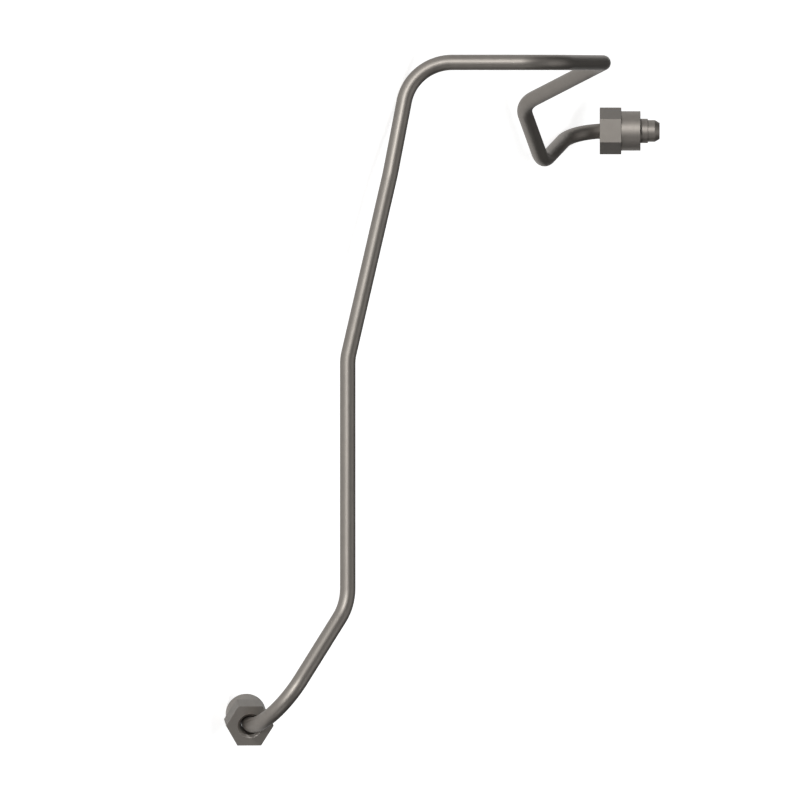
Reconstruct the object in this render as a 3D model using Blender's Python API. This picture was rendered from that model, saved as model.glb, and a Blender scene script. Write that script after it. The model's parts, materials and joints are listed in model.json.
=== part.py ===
"""Bent steel high-pressure line: one tube with a coned head at each end, two thrust sleeves, two union nuts.

The tube is laid out in a drawing frame, X right, Y up, Z out of the drawing. Ends are named A, the one
that points right in the drawing, and B, the one that points away from the reader. The finished line is
then turned to the way it lies on a flat surface, with the middle of its footprint at the origin.
"""
import math

import bmesh
import bpy
from mathutils import Matrix, Vector

# Tube
TUBE_DIAMETER = 0.00635
BORE_DIAMETER = 0.0030
BEND_RADIUS = 0.020

# Straight lengths between bends, from end B to end A
FOOT_STRAIGHT = 0.0317
SHANK_STRAIGHT = 0.0918
RISER_STRAIGHT = 0.0729
NECK_STRAIGHT = 0.0291
SHOULDER_STRAIGHT = 0.0281
DIVE_STRAIGHT = 0.0414
TURN_STRAIGHT = 0.0004
RETURN_STRAIGHT = 0.0420
DROP_STRAIGHT = 0.0295
LEAD_IN_STRAIGHT = 0.0231

# Coned head, formed on each end of the tube
CONE_HALF_ANGLE = math.radians(30.0)
CONE_LENGTH = 0.0020
HEAD_DIAMETER = 0.0091
HEAD_LENGTH = 0.0029
HEAD_BACK_ANGLE = math.radians(45.0)

# Thrust sleeve, loose on the tube behind the head
SLEEVE_STEP = 0.00055
SLEEVE_LENGTH = 0.0031
SLEEVE_CLEARANCE = 0.0003
SLEEVE_CHAMFER = 0.0003

# Union nut with an inside thread, drawn back from the sleeve
THREAD_DIAMETER = 0.0140
THREAD_PITCH = 0.0015
THREAD_DEPTH_RATIO = 1.0825
THREAD_ENTRY = 0.0001
ACROSS_FLATS = 0.0170
HEX_LENGTH = 0.0090
COLLAR_WALL = 0.00125
COLLAR_LENGTH = 0.0080
REAR_WALL = 0.0050
HOLE_CLEARANCE = 0.00093
COUNTERSINK = 0.00105

# How far each nut, drawn back, reaches over the start of its bend
NUT_A_OVER_BEND = 0.0040
NUT_B_OVER_BEND = 0.0055

# Direction that one flat of each hexagon faces, in the drawing frame
FLAT_A_FACES = Vector((0.0, 0.0, 1.0))
FLAT_B_FACES = Vector((0.0, -1.0, 0.0))

# The side of the line that ends up underneath, in the drawing frame
UNDERSIDE = Vector((-0.90, 0.27, -0.34))
READER = Vector((0.0, 0.0, 1.0))

# Facets
TUBE_SIDES = 24
BORE_SIDES = 12
BEND_STEP = math.radians(9.0)
TURNED_SIDES = 48
SMOOTH_ANGLE = math.radians(30.0)

# Sizes that follow from the ones above
TUBE_R = TUBE_DIAMETER / 2
BORE_R = BORE_DIAMETER / 2
HEAD_R = HEAD_DIAMETER / 2
TIP_R = HEAD_R - CONE_LENGTH * math.tan(CONE_HALF_ANGLE)
HEAD_BACK = CONE_LENGTH + HEAD_LENGTH
HEAD_TAPER = (HEAD_R - TUBE_R) / math.tan(HEAD_BACK_ANGLE)
SLEEVE_R = HEAD_R + SLEEVE_STEP
SLEEVE_BORE_R = TUBE_R + SLEEVE_CLEARANCE
SLEEVE_BACK = HEAD_BACK + SLEEVE_LENGTH
THREAD_R = THREAD_DIAMETER / 2
THREAD_BORE_R = THREAD_R - THREAD_DEPTH_RATIO * THREAD_PITCH / 2
COLLAR_R = THREAD_R + COLLAR_WALL
NUT_LENGTH = HEX_LENGTH + COLLAR_LENGTH
HOLE_R = TUBE_R + HOLE_CLEARANCE
END_A_STRAIGHT = SLEEVE_BACK + NUT_LENGTH - NUT_A_OVER_BEND
END_B_STRAIGHT = SLEEVE_BACK + NUT_LENGTH - NUT_B_OVER_BEND

# The route: each straight length with its heading in the drawing and its rise towards the reader, in degrees
ROUTE = (
    (END_B_STRAIGHT, -69.0, 71.4),
    (FOOT_STRAIGHT, 58.0, -21.0),
    (SHANK_STRAIGHT, 90.0, 0.0),
    (RISER_STRAIGHT, 77.0, 0.0),
    (NECK_STRAIGHT, 79.2, -11.2),
    (SHOULDER_STRAIGHT, 0.0, 0.0),
    (DIVE_STRAIGHT, 0.0, -70.6),
    (TURN_STRAIGHT, 0.0, -90.0),
    (RETURN_STRAIGHT, -153.0, -49.4),
    (DROP_STRAIGHT, -70.4, -57.0),
    (LEAD_IN_STRAIGHT, 46.8, -67.2),
    (END_A_STRAIGHT, 0.0, 0.0),
)


def direction(heading, rise):
    """Unit vector of a leg in the drawing frame."""
    h = math.radians(heading)
    r = math.radians(rise)
    return Vector((math.cos(h) * math.cos(r), math.sin(h) * math.cos(r), math.sin(r)))


def centreline():
    """Points and directions along the tube: the ends of each straight, and steps round each bend."""
    place = Vector((0.0, 0.0, 0.0))
    along = direction(*ROUTE[0][1:])
    stations = [(place.copy(), along)]
    for index, (length, _, _) in enumerate(ROUTE):
        place = place + along * length
        stations.append((place.copy(), along))
        if index + 1 == len(ROUTE):
            break
        onward = direction(*ROUTE[index + 1][1:])
        angle = along.angle(onward)
        inward = (onward - along * along.dot(onward)).normalized()
        start = place
        steps = max(2, math.ceil(angle / BEND_STEP))
        for step in range(1, steps + 1):
            turned = angle * step / steps
            place = start + along * BEND_RADIUS * math.sin(turned)
            place = place + inward * BEND_RADIUS * (1 - math.cos(turned))
            facing = along * math.cos(turned) + inward * math.sin(turned)
            stations.append((place.copy(), facing))
        along = onward
    return stations


def head_profile():
    """Distance from the tip and outer radius down the coned head to the plain tube."""
    return (
        (0.0, TIP_R),
        (CONE_LENGTH, HEAD_R),
        (HEAD_BACK, HEAD_R),
        (HEAD_BACK + HEAD_TAPER, TUBE_R),
    )


def tube_sections():
    """Place, direction, outer radius and bore radius of every cross section, from tip B to tip A."""
    stations = centreline()
    tip_b, out_of_b = stations[0]
    tip_a, into_a = stations[-1]
    sections = []
    for distance, radius in head_profile():
        sections.append((tip_b + out_of_b * distance, out_of_b, radius))
    for place, along in stations[1:-1]:
        sections.append((place, along, TUBE_R))
    for distance, radius in reversed(head_profile()):
        sections.append((tip_a - into_a * distance, into_a, radius))
    return sections


def ring(bm, place, side, along, radius, count):
    """Vertices of one circle square to a direction, starting from a side vector."""
    other = along.cross(side)
    corners = []
    for k in range(count):
        turn = 2 * math.pi * k / count
        corners.append(bm.verts.new(place + (side * math.cos(turn) + other * math.sin(turn)) * radius))
    return corners


def skin(bm, first, second):
    """Quads from one ring to the next."""
    count = len(first)
    for k in range(count):
        nxt = (k + 1) % count
        bm.faces.new((first[k], first[nxt], second[nxt], second[k]))


def end_face(bm, outer, inner):
    """Flat ring between an outer circle and a bore circle that has fewer sides."""
    share = len(outer) // len(inner)
    for k in range(len(inner)):
        rim = [outer[(k * share + j) % len(outer)] for j in range(share + 1)]
        bm.faces.new(rim + [inner[(k + 1) % len(inner)], inner[k]])


def finish_mesh(bm, name):
    """Closed mesh with its faces pointing out, smooth apart from its edges."""
    bmesh.ops.recalc_face_normals(bm, faces=bm.faces)
    mesh = bpy.data.meshes.new(name)
    bm.to_mesh(mesh)
    bm.free()
    mesh.shade_smooth()
    mesh.set_sharp_from_angle(angle=SMOOTH_ANGLE)
    return mesh


def tube_mesh():
    """The tube, swept along its centreline with its bore open at both tips."""
    bm = bmesh.new()
    side = None
    facing = None
    outside = []
    inside = []
    for place, along, radius in tube_sections():
        if side is None:
            side = along.orthogonal().normalized()
        else:
            side = facing.rotation_difference(along) @ side
            side = (side - along * side.dot(along)).normalized()
        facing = along
        outside.append(ring(bm, place, side, along, radius, TUBE_SIDES))
        inside.append(ring(bm, place, side, along, BORE_R, BORE_SIDES))
    for rings in (outside, inside):
        for first, second in zip(rings, rings[1:]):
            skin(bm, first, second)
    end_face(bm, outside[0], inside[0])
    end_face(bm, outside[-1], inside[-1])
    return finish_mesh(bm, "pressure_tube")


def hexagon_radius(turn):
    """Distance from the axis to a hexagon's side, with one flat square to angle zero."""
    sixth = math.pi / 3
    off = (turn + sixth / 2) % sixth - sixth / 2
    return ACROSS_FLATS / 2 / math.cos(off)


def turned_mesh(name, outline):
    """A ring-shaped piece from a closed outline of heights and radii; a radius may be a function of angle."""
    bm = bmesh.new()
    rings = []
    for height, radius in outline:
        corners = []
        for k in range(TURNED_SIDES):
            turn = 2 * math.pi * k / TURNED_SIDES
            reach = radius(turn) if callable(radius) else radius
            corners.append(bm.verts.new((reach * math.cos(turn), reach * math.sin(turn), height)))
        rings.append(corners)
    for first, second in zip(rings, rings[1:] + rings[:1]):
        skin(bm, first, second)
    return finish_mesh(bm, name)


def sleeve_mesh():
    """Thrust sleeve: a countersink at the front takes the back of the head. Height 0 is its back face."""
    seat_r = HEAD_R + SLEEVE_CLEARANCE
    seat_depth = (seat_r - SLEEVE_BORE_R) / math.tan(HEAD_BACK_ANGLE)
    outline = (
        (0.0, SLEEVE_BORE_R),
        (0.0, SLEEVE_R - SLEEVE_CHAMFER),
        (SLEEVE_CHAMFER, SLEEVE_R),
        (SLEEVE_LENGTH, SLEEVE_R),
        (SLEEVE_LENGTH, seat_r),
        (SLEEVE_LENGTH - seat_depth, SLEEVE_BORE_R),
    )
    return turned_mesh("thrust_sleeve", outline)


def nut_mesh():
    """Union nut: hexagon behind, round collar in front, thread bore and a seat. Height 0 is its front face."""
    entry_r = THREAD_R + THREAD_ENTRY
    entry_depth = entry_r - THREAD_BORE_R
    seat = -(NUT_LENGTH - REAR_WALL)
    outline = (
        (0.0, entry_r),
        (0.0, COLLAR_R),
        (-COLLAR_LENGTH, COLLAR_R),
        (-COLLAR_LENGTH, hexagon_radius),
        (-NUT_LENGTH, hexagon_radius),
        (-NUT_LENGTH, HOLE_R + COUNTERSINK),
        (-NUT_LENGTH + COUNTERSINK, HOLE_R),
        (seat, HOLE_R),
        (seat, THREAD_BORE_R),
        (-entry_depth, THREAD_BORE_R),
    )
    return turned_mesh("union_nut", outline)


def steel(name, colour, roughness):
    """Bare steel."""
    material = bpy.data.materials.new(name)
    material.use_nodes = True
    shader = material.node_tree.nodes["Principled BSDF"]
    shader.inputs["Base Color"].default_value = (*colour, 1.0)
    shader.inputs["Metallic"].default_value = 1.0
    shader.inputs["Roughness"].default_value = roughness
    return material


def axis_frame(place, outward, flat_faces):
    """Local Z along the end's axis and local X as near as it can be to a given direction."""
    x = (flat_faces - outward * flat_faces.dot(outward)).normalized()
    y = outward.cross(x)
    turn = Matrix((x, y, outward)).transposed().to_4x4()
    return Matrix.Translation(place) @ turn


def add(name, mesh, material, parent, placing):
    """One object under the line's frame."""
    piece = bpy.data.objects.new(name, mesh)
    bpy.context.scene.collection.objects.link(piece)
    if not mesh.materials:
        mesh.materials.append(material)
    piece.parent = parent
    piece.matrix_basis = placing
    return piece


def solid_moment(piece, placing):
    """Volume of a closed mesh and volume times centroid, in the drawing frame."""
    volume = 0.0
    moment = Vector((0.0, 0.0, 0.0))
    piece.data.calc_loop_triangles()
    points = [placing @ v.co for v in piece.data.vertices]
    for triangle in piece.data.loop_triangles:
        a, b, c = (points[i] for i in triangle.vertices)
        part = a.dot(b.cross(c)) / 6
        volume += part
        moment += (a + b + c) * part / 4
    return volume, moment


def resting_turn(pieces):
    """Rotation that sets the line on the hull face that carries its weight, nearest to the underside."""
    hull = bmesh.new()
    volume = 0.0
    moment = Vector((0.0, 0.0, 0.0))
    for piece in pieces:
        placing = piece.matrix_basis
        for vertex in piece.data.vertices:
            hull.verts.new(placing @ vertex.co)
        part, part_moment = solid_moment(piece, placing)
        volume += part
        moment += part_moment
    centre = moment / volume
    bmesh.ops.convex_hull(hull, input=hull.verts)
    hull.normal_update()
    best = None
    for face in hull.faces:
        corners = [v.co for v in face.verts]
        normal = face.normal if face.normal.dot(corners[0] - centre) > 0 else -face.normal
        under = centre + normal * normal.dot(corners[0] - centre)
        turns = [(b - a).cross(under - a).dot(normal) for a, b in zip(corners, corners[1:] + corners[:1])]
        carries = min(turns) > 0 or max(turns) < 0
        if carries and (best is None or normal.dot(UNDERSIDE) > best.dot(UNDERSIDE)):
            best = normal.copy()
    hull.free()
    up = -best
    away = (up * READER.dot(up) - READER).normalized()
    return Matrix((away.cross(up), away, up)).to_4x4()


def build():
    """The whole line."""
    for old in list(bpy.data.objects):
        bpy.data.objects.remove(old, do_unlink=True)
    tube_steel = steel("tube_steel", (0.30, 0.285, 0.265), 0.34)
    nut_steel = steel("nut_steel", (0.34, 0.325, 0.305), 0.40)
    line = bpy.data.objects.new("line_frame", None)
    bpy.context.scene.collection.objects.link(line)

    stations = centreline()
    tip_b, from_b = stations[0]
    tip_a, out_a = stations[-1]
    out_b = -from_b
    pieces = [add("pressure_tube", tube_mesh(), tube_steel, line, Matrix.Identity(4))]
    sleeve = sleeve_mesh()
    nut = nut_mesh()
    ends = (("a", tip_a, out_a, FLAT_A_FACES), ("b", tip_b, out_b, FLAT_B_FACES))
    for end, tip, outward, flat_faces in ends:
        seat = axis_frame(tip - outward * SLEEVE_BACK, outward, flat_faces)
        pieces.append(add("thrust_sleeve_" + end, sleeve, nut_steel, line, seat))
        pieces.append(add("union_nut_" + end, nut, nut_steel, line, seat))

    turn = resting_turn(pieces)
    low = Vector((math.inf, math.inf, math.inf))
    high = -low
    for piece in pieces:
        for vertex in piece.data.vertices:
            point = turn @ piece.matrix_basis @ vertex.co
            low = Vector(map(min, low, point))
            high = Vector(map(max, high, point))
    middle = Vector(((low.x + high.x) / 2, (low.y + high.y) / 2, low.z))
    line.matrix_basis = Matrix.Translation(-middle) @ turn


build()
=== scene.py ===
"""Looks of a bent steel high pressure line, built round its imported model.

The line's route is laid out in a drawing frame: X right, Y up, Z towards the reader. The joints of the
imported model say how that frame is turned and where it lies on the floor. Lengths are in metres.
"""
import json
import math

import bmesh
import bpy
from mathutils import Matrix, Vector


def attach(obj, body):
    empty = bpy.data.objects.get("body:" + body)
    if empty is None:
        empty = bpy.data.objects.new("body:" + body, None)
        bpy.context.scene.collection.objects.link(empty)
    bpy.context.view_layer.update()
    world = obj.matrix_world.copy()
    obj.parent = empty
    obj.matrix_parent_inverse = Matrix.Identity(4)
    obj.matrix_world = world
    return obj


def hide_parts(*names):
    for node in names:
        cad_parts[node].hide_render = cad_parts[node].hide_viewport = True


# Tube and its bends
TUBE_DIAMETER = 0.00635
BORE_DIAMETER = 0.0030
BEND_RADIUS = 0.020

# Coned head, formed on each end of the tube
CONE_HALF_ANGLE = math.radians(30.0)
CONE_LENGTH = 0.0020
HEAD_DIAMETER = 0.0091
HEAD_LENGTH = 0.0029
HEAD_BACK_ANGLE = math.radians(45.0)
BORE_CHAMFER = 0.0002

# Thrust sleeve
SLEEVE_STEP = 0.00055
SLEEVE_LENGTH = 0.0031
SLEEVE_CLEARANCE = 0.0003

# Union nut
THREAD_DIAMETER = 0.0140
THREAD_PITCH = 0.0015
THREAD_DEPTH_RATIO = 1.0825
THREAD_ENTRY = 0.0001
THREAD_RUNOUT = 0.0012
THREAD_CREST = 0.25
THREAD_FLANK = 0.62
ACROSS_FLATS = 0.0170
HEX_LENGTH = 0.0090
COLLAR_WALL = 0.00125
COLLAR_LENGTH = 0.0080
REAR_WALL = 0.0050
HOLE_CLEARANCE = 0.00093
THROAT_CLEARANCE = 0.00006
COUNTERSINK = 0.00105
NUT_A_OVER_BEND = 0.0040
NUT_B_OVER_BEND = 0.0055

# Broken edges
TUBE_EDGE = 0.0003
TURNED_EDGE = 0.00015
SLEEVE_EDGE = 0.00012
HEX_EDGE = 0.00012
HEX_CORNER = 0.00025

# Sizes that follow from the ones above
TUBE_R = TUBE_DIAMETER / 2
BORE_R = BORE_DIAMETER / 2
HEAD_R = HEAD_DIAMETER / 2
TIP_R = HEAD_R - CONE_LENGTH * math.tan(CONE_HALF_ANGLE)
HEAD_BACK = CONE_LENGTH + HEAD_LENGTH
HEAD_TAPER = (HEAD_R - TUBE_R) / math.tan(HEAD_BACK_ANGLE)
SLEEVE_R = HEAD_R + SLEEVE_STEP
SLEEVE_BORE_R = TUBE_R + SLEEVE_CLEARANCE
SLEEVE_BACK = HEAD_BACK + SLEEVE_LENGTH
THREAD_R = THREAD_DIAMETER / 2
THREAD_BORE_R = THREAD_R - THREAD_DEPTH_RATIO * THREAD_PITCH / 2
COLLAR_R = THREAD_R + COLLAR_WALL
NUT_LENGTH = HEX_LENGTH + COLLAR_LENGTH
HOLE_R = TUBE_R + HOLE_CLEARANCE
THROAT_R = TUBE_R + THROAT_CLEARANCE
END_A_STRAIGHT = SLEEVE_BACK + NUT_LENGTH - NUT_A_OVER_BEND
END_B_STRAIGHT = SLEEVE_BACK + NUT_LENGTH - NUT_B_OVER_BEND

# The route from end B to end A: straight length, and its heading and rise towards the reader in degrees
ROUTE = (
    (END_B_STRAIGHT, -69.0, 71.4),
    (0.0317, 58.0, -21.0),
    (0.0918, 90.0, 0.0),
    (0.0729, 77.0, 0.0),
    (0.0291, 79.2, -11.2),
    (0.0281, 0.0, 0.0),
    (0.0414, 0.0, -70.6),
    (0.0004, 0.0, -90.0),
    (0.0420, -153.0, -49.4),
    (0.0295, -70.4, -57.0),
    (0.0231, 46.8, -67.2),
    (END_A_STRAIGHT, 0.0, 0.0),
)
FLAT_FACES = {"a": Vector((0.0, 0.0, 1.0)), "b": Vector((0.0, -1.0, 0.0))}

# Fineness of the meshes
TUBE_SIDES = 72
BEND_STEP = math.radians(2.0)
LEAST_BEND_STEPS = 3
BORE_STRIDE = 2
STRAIGHT_STEP = 0.006
FILLET_STEPS = 4
TURNED_SIDES = 96
CORNER_STEPS = 4
FLAT_STEPS = 12
THREAD_STEPS = 16
SMOOTH_ANGLE = math.radians(35.0)

# Name under which a mesh keeps each point's place in its piece's own frame: along, across and up
OWN_PLACE = "own_place"

# Steels: darkest and lightest tone, roughness, fineness of the grain along a piece's axes and of the uneven
# tone, in marks per metre
TUBE_TONES = ((0.192, 0.177, 0.161), (0.210, 0.194, 0.176))
TURNED_TONES = ((0.200, 0.185, 0.168), (0.219, 0.202, 0.184))
# Drawn bar steel of the hexagon's flats: its grain along the flats is its own, its tone, darker than the turned
# steel of the same nut, is painted shade on the flats
BAR_TONES_PAINTED_SHADE = ((0.151, 0.140, 0.127), (0.165, 0.153, 0.139))
# Steel of the countersink, hole and seat behind the nut: painted light, far lighter than the other steels, so
# that the hollow shows lit instead of in its shade
HOLE_TONES_PAINTED_LIGHT = ((0.440, 0.415, 0.385), (0.500, 0.472, 0.438))
DRAWN_ROUGHNESS = 0.51
TURNED_ROUGHNESS = 0.53
HOLE_ROUGHNESS = 0.42
ROUGHNESS_SPREAD = 0.04
TUBE_GRAIN = (40.0, 2500.0, 2500.0)
BAR_GRAIN = (60.0, 2500.0, 2500.0)
TURNED_GRAIN = (6000.0, 6000.0, 0.0)
DRAWN_MOTTLE = 300.0
TURNED_MOTTLE = 350.0

# Noise of the grain and of the uneven tone, and the values between which it takes tone and roughness from one
# end to the other
GRAIN_DETAIL = 3.0
GRAIN_ROUGHNESS = 0.6
MOTTLE_DETAIL = 2.0
TONE_RANGE = (0.35, 0.65)
GRAIN_RANGE = (0.3, 0.7)
GRAIN_SHARE = 0.5
GRAIN_STRENGTH = 0.15
GRAIN_DEPTH = 0.00002

# The photograph's frame: pixels, the size of one and the depth at which it holds, the pixel of end A's tip
# and the one that the camera stands straight over, both at that depth, and the lens in millimetres
PICTURE_PIXELS = 800
PIXEL = 0.0004097
PICTURE_DEPTH = 0.0167
TIP_PIXEL = (660.38, 130.11)
CAMERA_PIXEL = (590.5, 145.9)
LENS = 1150.0

# Floor and light: a lamp is its name, azimuth, elevation, distance, size and power, and azimuth 0 is towards
# the floor's -Y and 90 towards its +X
FLOOR_SIZE = 30.0
FLOOR_COLOUR = (0.9, 0.9, 0.9, 1.0)
FLOOR_ROUGHNESS = 0.9
FLOOR_GLOW = 0.74
WORLD_LIGHT = 0.10
LIT_PLACE = Vector((0.0, 0.0, 0.03))
LAMPS = (
    ("key", -20.0, 3.5, 2.0, 0.2, 26.5),
    ("front", 4.0, 3.5, 2.0, 0.2, 9.5),
    ("high", -90.0, 60.0, 2.0, 1.8, 4.6),
    ("side", 60.0, 30.0, 1.5, 0.6, 2.2),
    ("top", 180.0, 88.0, 2.0, 1.6, 6.5),
)


def direction(heading, rise):
    """Unit vector of a leg in the drawing frame."""
    h = math.radians(heading)
    r = math.radians(rise)
    return Vector((math.cos(h) * math.cos(r), math.sin(h) * math.cos(r), math.sin(r)))


def centreline():
    """Place, direction and length so far of points along the tube, from tip B to tip A."""
    place = Vector((0.0, 0.0, 0.0))
    along = direction(*ROUTE[0][1:])
    run = 0.0
    stations = [(place.copy(), along, run)]
    for index, (length, _, _) in enumerate(ROUTE):
        pieces = max(1, round(length / STRAIGHT_STEP))
        for k in range(1, pieces + 1):
            share = length * k / pieces
            stations.append((place + along * share, along, run + share))
        place = place + along * length
        run += length
        if index + 1 == len(ROUTE):
            break
        onward = direction(*ROUTE[index + 1][1:])
        angle = along.angle(onward)
        inward = (onward - along * along.dot(onward)).normalized()
        start = place
        steps = max(LEAST_BEND_STEPS, math.ceil(angle / BEND_STEP))
        for step in range(1, steps + 1):
            turned = angle * step / steps
            place = start + along * BEND_RADIUS * math.sin(turned)
            place = place + inward * BEND_RADIUS * (1 - math.cos(turned))
            facing = along * math.cos(turned) + inward * math.sin(turned)
            stations.append((place.copy(), facing, run + BEND_RADIUS * turned))
        run += BEND_RADIUS * angle
        along = onward
    return stations


def rounded(corners):
    """Points of an open outline whose corners are (x, y, fillet radius)."""
    points = []
    last = len(corners) - 1
    for index, (x, y, radius) in enumerate(corners):
        corner = Vector((x, y))
        if index in (0, last) or radius == 0.0:
            points.append((x, y))
            continue
        before = (Vector(corners[index - 1][:2]) - corner).normalized()
        after = (Vector(corners[index + 1][:2]) - corner).normalized()
        half = before.angle(after) / 2
        centre = corner + (before + after).normalized() * radius / math.sin(half)
        start = corner + before * radius / math.tan(half) - centre
        end = corner + after * radius / math.tan(half) - centre
        sweep = start.angle_signed(end)
        for k in range(FILLET_STEPS + 1):
            turn = -sweep * k / FILLET_STEPS
            spoke = Matrix.Rotation(turn, 2) @ start
            points.append(tuple(centre + spoke))
    return points


def head_outline():
    """Distance from the tip and radius, from the bore's edge over the head to the plain tube."""
    return rounded((
        (BORE_CHAMFER, BORE_R, 0.0),
        (0.0, BORE_R + BORE_CHAMFER, 0.0),
        (0.0, TIP_R, TUBE_EDGE),
        (CONE_LENGTH, HEAD_R, TUBE_EDGE),
        (HEAD_BACK, HEAD_R, TUBE_EDGE),
        (HEAD_BACK + HEAD_TAPER, TUBE_R, 0.0),
    ))


def tube_sections():
    """Place, direction, radius and length so far of each section: outside from B to A, then back inside."""
    stations = centreline()
    tip_b, out_of_b, _ = stations[0]
    tip_a, into_a, whole = stations[-1]
    head = head_outline()
    neck = HEAD_BACK + HEAD_TAPER
    sections = []
    for distance, radius in head:
        sections.append((tip_b + out_of_b * distance, out_of_b, radius, distance))
    plain = [s for s in stations if neck < s[2] < whole - neck]
    for place, along, run in plain:
        sections.append((place, along, TUBE_R, run))
    for distance, radius in reversed(head):
        sections.append((tip_a - into_a * distance, into_a, radius, whole - distance))
    for place, along, run in reversed(plain[::BORE_STRIDE]):
        sections.append((place, along, BORE_R, run))
    return sections


def skin(bm, first, second, material=0):
    """Quads from one ring to the next."""
    count = len(first)
    for k in range(count):
        nxt = (k + 1) % count
        face = bm.faces.new((first[k], first[nxt], second[nxt], second[k]))
        face.material_index = material


def finish_mesh(bm, name):
    """Mesh with its faces pointing out, smooth apart from its edges."""
    bmesh.ops.recalc_face_normals(bm, faces=bm.faces)
    mesh = bpy.data.meshes.new(name)
    bm.to_mesh(mesh)
    bm.free()
    mesh.shade_smooth()
    mesh.set_sharp_from_angle(angle=SMOOTH_ANGLE)
    return mesh


def transported_sides(sections):
    """A vector square to the tube at each section, carried along without twist."""
    sides = []
    side = sections[0][1].orthogonal().normalized()
    facing = sections[0][1]
    for _, along, _, _ in sections:
        side = facing.rotation_difference(along) @ side
        side = (side - along * side.dot(along)).normalized()
        facing = along
        sides.append(side)
    return sides


def tube_mesh(to_floor):
    """The tube. For the drawn grain its points keep the place that they would have on a straight tube."""
    bm = bmesh.new()
    own = bm.verts.layers.float_vector.new(OWN_PLACE)
    sections = tube_sections()
    rings = []
    for (place, along, radius, run), side in zip(sections, transported_sides(sections)):
        other = along.cross(side)
        ring = []
        for k in range(TUBE_SIDES):
            turn = 2 * math.pi * k / TUBE_SIDES
            across = radius * math.cos(turn)
            up = radius * math.sin(turn)
            vertex = bm.verts.new(to_floor @ (place + side * across + other * up))
            vertex[own] = Vector((run, across, up))
            ring.append(vertex)
        rings.append(ring)
    last_of_head = len(head_outline()) - 1
    rows_at_tube_size = len([s for s in sections if s[2] == TUBE_R])
    for k, ring in enumerate(rings):
        on_tube = last_of_head <= k < last_of_head + rows_at_tube_size - 1
        skin(bm, ring, rings[(k + 1) % len(rings)], 0 if on_tube else 1)
    return finish_mesh(bm, "tube")


def hexagon_corner():
    """Distance from the axis to the centre of a corner's rounding, and the angle that it spans each way."""
    centre = (ACROSS_FLATS / 2 - HEX_CORNER) / math.cos(math.pi / 6)
    edge = Vector((centre + HEX_CORNER * math.cos(math.pi / 6), HEX_CORNER * math.sin(math.pi / 6)))
    return centre, math.atan2(edge.y, edge.x)


def hexagon_turns():
    """Angles round a hexagon with a flat square to angle zero: close together at the rounded corners."""
    _, span = hexagon_corner()
    sixth = math.pi / 3
    turns = []
    for flat in range(6):
        corner = flat * sixth + sixth / 2
        turns += [corner + span * (2 * k / CORNER_STEPS - 1) for k in range(CORNER_STEPS)]
        turns += [corner + span + (sixth - 2 * span) * k / FLAT_STEPS for k in range(FLAT_STEPS)]
    return turns


def hexagon(inset):
    """Radius of the rounded hexagon, less an inset, as a function of the angle."""
    centre, span = hexagon_corner()
    sixth = math.pi / 3

    def reach(turn):
        off = (turn + sixth / 2) % sixth - sixth / 2
        from_corner = sixth / 2 - abs(off)
        if from_corner >= span:
            return ACROSS_FLATS / 2 / math.cos(off) - inset
        drop = centre * math.sin(from_corner)
        return centre * math.cos(from_corner) + math.sqrt(HEX_CORNER ** 2 - drop ** 2) - inset

    return reach


def thread(height, bottom, top):
    """Radius of the inside thread at one height, as a function of the angle; it fades out at both ends."""
    depth = THREAD_R - THREAD_BORE_R
    fade = min(1.0, (height - bottom) / THREAD_RUNOUT, (top - height) / THREAD_RUNOUT)

    def reach(turn):
        phase = (height / THREAD_PITCH - turn / (2 * math.pi)) % 1.0
        flank = abs(2 * phase - 1)
        groove = min(1.0, max(0.0, (flank - THREAD_CREST) / THREAD_FLANK))
        return THREAD_BORE_R + depth * groove * max(0.0, fade)

    return reach


def turned_mesh(name, outline, turns, seat):
    """A ring-shaped piece from a closed outline of (height, radius, material).

    A radius may be a function of the angle.
    """
    bm = bmesh.new()
    own = bm.verts.layers.float_vector.new(OWN_PLACE)
    rings = []
    for height, radius, _ in outline:
        ring = []
        for turn in turns:
            reach = radius(turn) if callable(radius) else radius
            across = reach * math.cos(turn)
            up = reach * math.sin(turn)
            vertex = bm.verts.new(seat @ Vector((across, up, height)))
            vertex[own] = Vector((height, across, up))
            ring.append(vertex)
        rings.append(ring)
    for k, ring in enumerate(rings):
        skin(bm, ring, rings[(k + 1) % len(rings)], outline[k][2])
    return finish_mesh(bm, name)


def sleeve_mesh(seat):
    """Thrust sleeve with a countersink that takes the back of the head. Height 0 is its back face."""
    seat_r = HEAD_R + SLEEVE_CLEARANCE
    seat_depth = (seat_r - SLEEVE_BORE_R) / math.tan(HEAD_BACK_ANGLE)
    outline = rounded((
        (SLEEVE_LENGTH - seat_depth, SLEEVE_BORE_R, 0.0),
        (0.0, SLEEVE_BORE_R, TURNED_EDGE),
        (0.0, SLEEVE_R, SLEEVE_EDGE),
        (SLEEVE_LENGTH, SLEEVE_R, SLEEVE_EDGE),
        (SLEEVE_LENGTH, seat_r, 0.0),
    ))
    turns = [2 * math.pi * k / TURNED_SIDES for k in range(TURNED_SIDES)]
    return turned_mesh("sleeve", [(h, r, 0) for h, r in outline], turns, seat)


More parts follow.
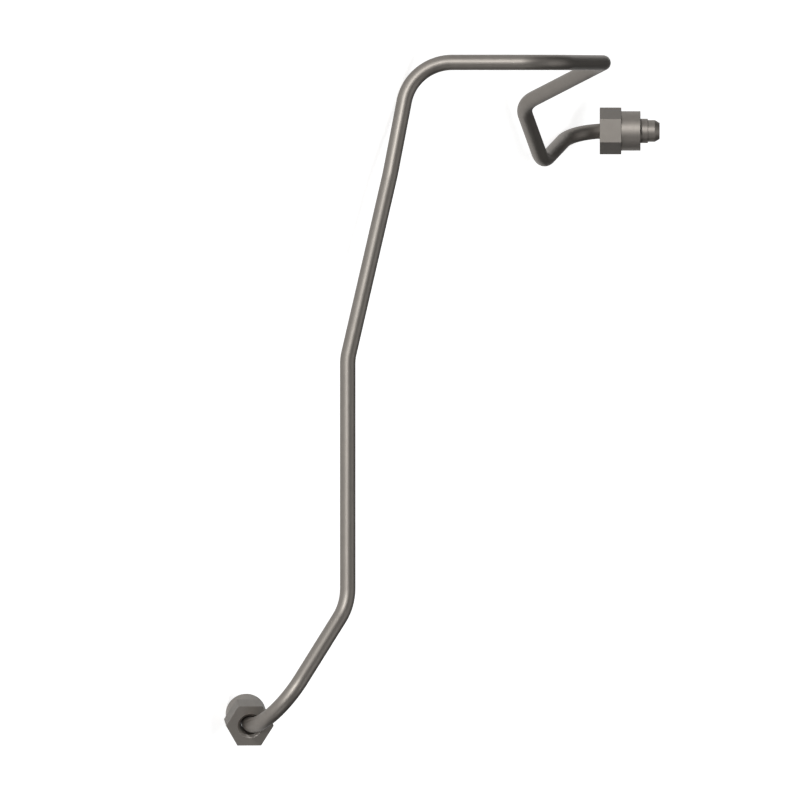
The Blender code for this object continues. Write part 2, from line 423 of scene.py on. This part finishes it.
def nut_mesh(place):
    """Union nut: hexagon behind, round collar in front, threaded bore and a seat. Height 0 is its front face.

    The hole behind tapers to a throat at the seat, because the tube bends away inside it.
    """
    entry_r = THREAD_R + THREAD_ENTRY
    entry = -(entry_r - THREAD_BORE_R)
    seat = -(NUT_LENGTH - REAR_WALL)
    collar = rounded((
        (entry, THREAD_BORE_R, 0.0),
        (0.0, entry_r, TURNED_EDGE),
        (0.0, COLLAR_R, TURNED_EDGE),
        (-COLLAR_LENGTH, COLLAR_R, 0.0),
    ))
    outline = [(h, r, 0) for h, r in collar]
    hex_ends = ((-COLLAR_LENGTH, -1), (-NUT_LENGTH, 1))
    quarter = [math.pi / 2 * k / FILLET_STEPS for k in range(FILLET_STEPS + 1)]
    for end, inward in hex_ends:
        rim = [(end + inward * HEX_EDGE * (1 - math.cos(t)), HEX_EDGE * (1 - math.sin(t))) for t in quarter]
        if inward > 0:
            rim.reverse()
        # The hexagon's flats take the darker bar steel: painted shade
        outline += [(h, hexagon(inset), 1) for h, inset in rim]
    outline[-1] = (outline[-1][0], outline[-1][1], 0)
    rear = rounded((
        (-NUT_LENGTH, COLLAR_R, 0.0),
        (-NUT_LENGTH, HOLE_R + COUNTERSINK, TURNED_EDGE),
        (-NUT_LENGTH + COUNTERSINK, HOLE_R, TURNED_EDGE),
        (seat, THROAT_R, 0.0),
        (seat, THREAD_BORE_R, 0.0),
    ))
    # Countersink, hole and seat take the lighter steel: painted light in the hollow
    outline += [(h, r, 2) for h, r in rear]
    outline[-len(rear)] = (*rear[0], 0)
    step = THREAD_PITCH / THREAD_STEPS
    rows = int((entry - seat) / step)
    for k in range(1, rows):
        height = seat + k * (entry - seat) / rows
        outline.append((height, thread(height, seat, entry), 0))
    return turned_mesh("nut", outline, hexagon_turns(), place)


def node(tree, kind, inputs=(), **settings):
    """One shader node with its settings and input values."""
    made = tree.nodes.new(kind)
    for name, value in settings.items():
        setattr(made, name, value)
    for name, value in dict(inputs).items():
        made.inputs[name].default_value = value
    return made


def steel(name, tones, roughness, place, grain_scale, mottle_scale):
    """Bare steel: fine grain along or round the piece, and a faint uneven tone.

    place is the function that gives a tree's socket for the place on the piece.
    """
    material = bpy.data.materials.new(name)
    material.use_nodes = True
    tree = material.node_tree
    shader = tree.nodes["Principled BSDF"]
    shader.inputs["Metallic"].default_value = 1.0
    where = place(tree)

    stretched = node(tree, "ShaderNodeVectorMath", {1: grain_scale}, operation="MULTIPLY")
    tree.links.new(where, stretched.inputs[0])
    grain = node(tree, "ShaderNodeTexNoise", {"Scale": 1.0, "Detail": GRAIN_DETAIL})
    grain.inputs["Roughness"].default_value = GRAIN_ROUGHNESS
    tree.links.new(stretched.outputs[0], grain.inputs["Vector"])
    mottle = node(tree, "ShaderNodeTexNoise", {"Scale": mottle_scale, "Detail": MOTTLE_DETAIL})
    tree.links.new(where, mottle.inputs["Vector"])

    mixed = node(tree, "ShaderNodeMath", {1: GRAIN_SHARE}, operation="MULTIPLY_ADD")
    tree.links.new(grain.outputs["Fac"], mixed.inputs[0])
    rest = node(tree, "ShaderNodeMath", {1: 1 - GRAIN_SHARE}, operation="MULTIPLY")
    tree.links.new(mottle.outputs["Fac"], rest.inputs[0])
    tree.links.new(rest.outputs[0], mixed.inputs[2])

    tone = node(tree, "ShaderNodeValToRGB")
    for stop, position, colour in zip(tone.color_ramp.elements, TONE_RANGE, tones):
        stop.position = position
        stop.color = (*colour, 1.0)
    tree.links.new(mixed.outputs[0], tone.inputs["Fac"])
    tree.links.new(tone.outputs["Color"], shader.inputs["Base Color"])

    rough = node(tree, "ShaderNodeMapRange", {"From Min": GRAIN_RANGE[0], "From Max": GRAIN_RANGE[1]})
    rough.inputs["To Min"].default_value = roughness - ROUGHNESS_SPREAD
    rough.inputs["To Max"].default_value = roughness + ROUGHNESS_SPREAD
    tree.links.new(grain.outputs["Fac"], rough.inputs["Value"])
    tree.links.new(rough.outputs["Result"], shader.inputs["Roughness"])

    bump = node(tree, "ShaderNodeBump", {"Strength": GRAIN_STRENGTH, "Distance": GRAIN_DEPTH})
    tree.links.new(grain.outputs["Fac"], bump.inputs["Height"])
    tree.links.new(bump.outputs["Normal"], shader.inputs["Normal"])
    return material


def drawn_place(tree):
    """Place along and across the piece, so that marks run along it."""
    return node(tree, "ShaderNodeAttribute", attribute_name=OWN_PLACE).outputs["Vector"]


def turned_place(tree):
    """Place along the piece and distance from its axis, so that marks run round it."""
    parts = node(tree, "ShaderNodeSeparateXYZ")
    tree.links.new(drawn_place(tree), parts.inputs[0])
    flat = node(tree, "ShaderNodeCombineXYZ")
    tree.links.new(parts.outputs["Y"], flat.inputs["X"])
    tree.links.new(parts.outputs["Z"], flat.inputs["Y"])
    reach = node(tree, "ShaderNodeVectorMath", operation="LENGTH")
    tree.links.new(flat.outputs[0], reach.inputs[0])
    made = node(tree, "ShaderNodeCombineXYZ")
    tree.links.new(parts.outputs["X"], made.inputs["X"])
    tree.links.new(reach.outputs["Value"], made.inputs["Y"])
    return made.outputs[0]


def drawing_to_floor(joints):
    """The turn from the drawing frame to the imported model's, from the axes of the two ends, and the shift."""
    by_name = {joint["name"]: joint for joint in joints}
    stations = centreline()
    from_b = stations[0][1]
    tip_a, out_a, _ = stations[-1]
    drawn = basis(out_a, -from_b)
    laid = basis(Vector(by_name["turn_a"]["axis"]), Vector(by_name["turn_b"]["axis"]))
    turn = laid @ drawn.transposed()
    seat_a = tip_a - out_a * SLEEVE_BACK
    shift = Vector(by_name["turn_a"]["pos_m"]) - turn @ seat_a
    return Matrix.Translation(shift) @ turn.to_4x4()


def basis(first, second):
    """Square axes as columns: the first direction, and two more that the second one fixes."""
    x = first.normalized()
    z = first.cross(second).normalized()
    return Matrix((x, z.cross(x), z)).transposed()


def add_piece(name, mesh, materials, body, cad_node):
    """One piece of the line that stands for its node."""
    piece = bpy.data.objects.new(name, mesh)
    bpy.context.scene.collection.objects.link(piece)
    for material in materials:
        mesh.materials.append(material)
    shading = piece.modifiers.new("even_shading", "WEIGHTED_NORMAL")
    shading.keep_sharp = True
    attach(piece, body)
    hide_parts(cad_node)
    return piece


def add_line(to_floor):
    """Tube, sleeves and nuts."""
    tube_steel = steel("drawn_tube_steel", TUBE_TONES, DRAWN_ROUGHNESS, drawn_place, TUBE_GRAIN, DRAWN_MOTTLE)
    turned_steel = steel(
        "turned_steel", TURNED_TONES, TURNED_ROUGHNESS, turned_place, TURNED_GRAIN, TURNED_MOTTLE
    )
    # Darker bar steel with painted shade, for the hexagon's flats
    bar_steel_painted_shade = steel("drawn_bar_steel_painted_shade", BAR_TONES_PAINTED_SHADE, DRAWN_ROUGHNESS, drawn_place, BAR_GRAIN, DRAWN_MOTTLE)
    # Lighter steel with painted light, for the hollow behind each nut
    hole_steel_painted_light = steel(
        "hole_with_painted_light", HOLE_TONES_PAINTED_LIGHT, HOLE_ROUGHNESS, turned_place, TURNED_GRAIN, TURNED_MOTTLE
    )
    add_piece("tube", tube_mesh(to_floor), [tube_steel, turned_steel], "line", "pressure_tube")

    stations = centreline()
    tip_b, from_b, _ = stations[0]
    tip_a, out_a, _ = stations[-1]
    for end, tip, outward in (("a", tip_a, out_a), ("b", tip_b, -from_b)):
        faces = FLAT_FACES[end]
        x = (faces - outward * faces.dot(outward)).normalized()
        turn = Matrix((x, outward.cross(x), outward)).transposed().to_4x4()
        seat = to_floor @ Matrix.Translation(tip - outward * SLEEVE_BACK) @ turn
        sleeve = "sleeve_" + end
        add_piece(sleeve, sleeve_mesh(seat), [turned_steel], sleeve, "thrust_" + sleeve)
        nut = "nut_" + end
        steels = [turned_steel, bar_steel_painted_shade, hole_steel_painted_light]
        add_piece(nut, nut_mesh(seat), steels, nut, "union_" + nut)


def picture_place(pixel):
    """The point at the picture's depth that a pixel shows."""
    tip = centreline()[-1][0]
    right = (pixel[0] - TIP_PIXEL[0]) * PIXEL
    down = (pixel[1] - TIP_PIXEL[1]) * PIXEL
    return Vector((tip.x + right, tip.y - down, PICTURE_DEPTH))


def add_camera(to_floor):
    """View along the drawing's Z from far off, so that it is nearly flat."""
    data = bpy.data.cameras.new("camera")
    data.lens = LENS
    distance = LENS / data.sensor_width * PICTURE_PIXELS * PIXEL
    data.clip_end = 2 * distance
    spot = picture_place(CAMERA_PIXEL) + Vector((0.0, 0.0, distance))
    middle = (PICTURE_PIXELS - 1) / 2
    back = (spot - picture_place((middle, middle))).normalized()
    right = Vector((0.0, 1.0, 0.0)).cross(back).normalized()
    turn = Matrix((right, back.cross(right), back)).transposed().to_4x4()
    camera = bpy.data.objects.new("camera", data)
    bpy.context.scene.collection.objects.link(camera)
    camera.matrix_world = to_floor @ Matrix.Translation(spot) @ turn
    bpy.context.scene.camera = camera


def floor_material():
    """Pale matt floor that also glows for the eye and for what mirrors it, so that it shows as white."""
    material = bpy.data.materials.new("floor")
    material.use_nodes = True
    tree = material.node_tree
    shader = tree.nodes["Principled BSDF"]
    shader.inputs["Base Color"].default_value = FLOOR_COLOUR
    shader.inputs["Roughness"].default_value = FLOOR_ROUGHNESS
    shader.inputs["Specular IOR Level"].default_value = 0.0
    shader.inputs["Emission Color"].default_value = (1.0, 1.0, 1.0, 1.0)
    rays = node(tree, "ShaderNodeLightPath")
    seen = rays.outputs["Is Camera Ray"]
    for ray in ("Is Glossy Ray", "Is Transmission Ray"):
        either = node(tree, "ShaderNodeMath", operation="MAXIMUM")
        tree.links.new(seen, either.inputs[0])
        tree.links.new(rays.outputs[ray], either.inputs[1])
        seen = either.outputs[0]
    glow = node(tree, "ShaderNodeMath", {1: FLOOR_GLOW}, operation="MULTIPLY")
    tree.links.new(seen, glow.inputs[0])
    tree.links.new(glow.outputs[0], shader.inputs["Emission Strength"])
    return material


def add_floor():
    """Plain pale floor under the line."""
    bpy.ops.mesh.primitive_plane_add(size=FLOOR_SIZE)
    floor = bpy.context.object
    floor.name = "floor"
    floor.data.materials.append(floor_material())


def add_lamp(name, azimuth, elevation, distance, size, power):
    """Soft round lamp aimed at the line."""
    data = bpy.data.lights.new(name, "AREA")
    data.shape = "DISK"
    data.energy = power
    data.size = size
    lamp = bpy.data.objects.new(name, data)
    bpy.context.scene.collection.objects.link(lamp)
    turn = math.radians(azimuth)
    rise = math.radians(elevation)
    way = Vector((math.sin(turn) * math.cos(rise), -math.cos(turn) * math.cos(rise), math.sin(rise)))
    lamp.location = LIT_PLACE + way * distance
    lamp.rotation_mode = "QUATERNION"
    lamp.rotation_quaternion = way.to_track_quat("Z", "Y")


def add_light():
    """Even world light and soft lamps."""
    world = bpy.data.worlds.new("world")
    world.use_nodes = True
    background = world.node_tree.nodes["Background"]
    background.inputs["Color"].default_value = (1.0, 1.0, 1.0, 1.0)
    background.inputs["Strength"].default_value = WORLD_LIGHT
    bpy.context.scene.world = world
    for lamp in LAMPS:
        add_lamp(*lamp)


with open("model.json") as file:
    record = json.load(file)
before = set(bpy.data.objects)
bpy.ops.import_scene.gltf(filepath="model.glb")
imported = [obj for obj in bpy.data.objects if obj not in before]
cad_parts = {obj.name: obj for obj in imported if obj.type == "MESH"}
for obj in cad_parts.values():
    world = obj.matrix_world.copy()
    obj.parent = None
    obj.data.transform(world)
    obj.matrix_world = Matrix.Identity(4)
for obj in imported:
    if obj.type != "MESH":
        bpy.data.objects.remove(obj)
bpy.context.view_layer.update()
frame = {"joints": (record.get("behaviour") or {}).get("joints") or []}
bpy.context.scene.view_settings.view_transform = "Standard"
placing = drawing_to_floor(frame["joints"])
add_line(placing)
add_camera(placing)
add_floor()
add_light()
